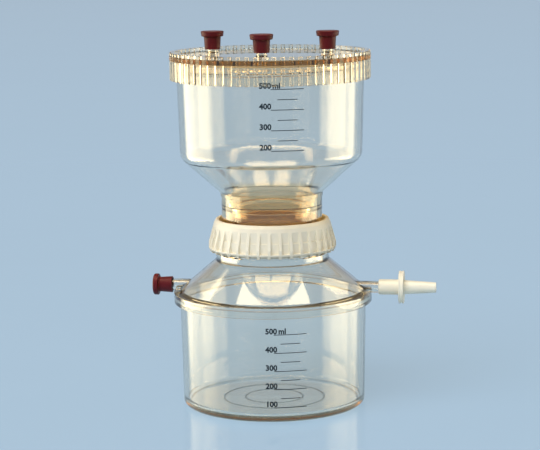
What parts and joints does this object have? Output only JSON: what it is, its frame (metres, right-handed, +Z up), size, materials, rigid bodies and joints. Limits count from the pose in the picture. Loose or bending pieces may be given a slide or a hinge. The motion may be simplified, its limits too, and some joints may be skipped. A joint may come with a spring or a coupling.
{
  "type": "vacuum filtration unit",
  "caption": "Clear reusable vacuum filter holder: funnel with a knurled screw cover, clamped by a ribbed collar to a graduated receiver with side spouts.",
  "frame": {"origin": "centre of the receiver's flat foot", "axes": "+Z up along the axis of the receiver, collar, funnel and cover; the side spouts lie along X, the tubing adapter on +X; graduations face -Y"},
  "size_m": [0.1725, 0.1202, 0.226],
  "materials": {
    "clear_plastic": "clear pale amber polysulfone, glossy",
    "black_print": "thin printed ink",
    "silicone": "translucent white silicone, satin",
    "white_plastic": "white polypropylene, satin",
    "membrane": "matt white membrane",
    "cream_plastic": "cream polypropylene, satin",
    "maroon_rubber": "maroon rubber, satin",
    "ivory_plastic": "ivory polypropylene, satin"
  },
  "bodies": {
    "receiver": {"receiver_cup": "clear_plastic", "receiver_dome": "clear_plastic", "receiver_scale": "black_print", "support_gasket": "silicone", "filter_support": "white_plastic", "membrane_filter": "membrane"},
    "chamber": {"upper_chamber": "clear_plastic", "chamber_scale": "black_print", "chamber_seal": "silicone"},
    "collar": {"collar": "cream_plastic"},
    "cover_gasket": {"cover_gasket": "silicone"},
    "cover": {"cover": "clear_plastic"},
    "cover_cap_left": {"cover_cap_left": "maroon_rubber"},
    "cover_cap_front": {"cover_cap_front": "maroon_rubber"},
    "cover_cap_right": {"cover_cap_right": "maroon_rubber"},
    "port_cap": {"port_cap": "maroon_rubber"},
    "vacuum_adapter": {"vacuum_adapter": "ivory_plastic"}
  },
  "joints": [
    {"name": "chamber_lift", "type": "slide", "parent": "receiver", "child": "chamber", "axis": [0, 0, 1], "range_m": [0, 0.06]},
    {"name": "collar_turn", "type": "hinge", "parent": "chamber", "child": "collar", "pos_m": [0, 0, 0.104], "axis": [0, 0, 1], "range_deg": [0, 756]},
    {"name": "cover_rise", "type": "slide", "parent": "chamber", "child": "cover_gasket", "axis": [0, 0, 1], "range_m": [0, 0.01125]},
    {"name": "cover_turn", "type": "hinge", "parent": "cover_gasket", "child": "cover", "pos_m": [0, 0, 0.209], "axis": [0, 0, 1], "range_deg": [0, 900]},
    {"name": "cap_left_pull", "type": "slide", "parent": "cover", "child": "cover_cap_left", "axis": [0, 0, 1], "range_m": [0, 0.014]},
    {"name": "cap_front_pull", "type": "slide", "parent": "cover", "child": "cover_cap_front", "axis": [0, 0, 1], "range_m": [0, 0.014]},
    {"name": "cap_right_pull", "type": "slide", "parent": "cover", "child": "cover_cap_right", "axis": [0, 0, 1], "range_m": [0, 0.014]},
    {"name": "port_cap_pull", "type": "slide", "parent": "receiver", "child": "port_cap", "axis": [-1, 0, 0], "range_m": [0, 0.014]},
    {"name": "adapter_pull", "type": "slide", "parent": "receiver", "child": "vacuum_adapter", "axis": [1, 0, 0], "range_m": [0, 0.012]}
  ],
  "couplings": [
    {"joint": "cover_rise", "follows": "cover_turn", "m_per_rad": 0.0007162}
  ]
}
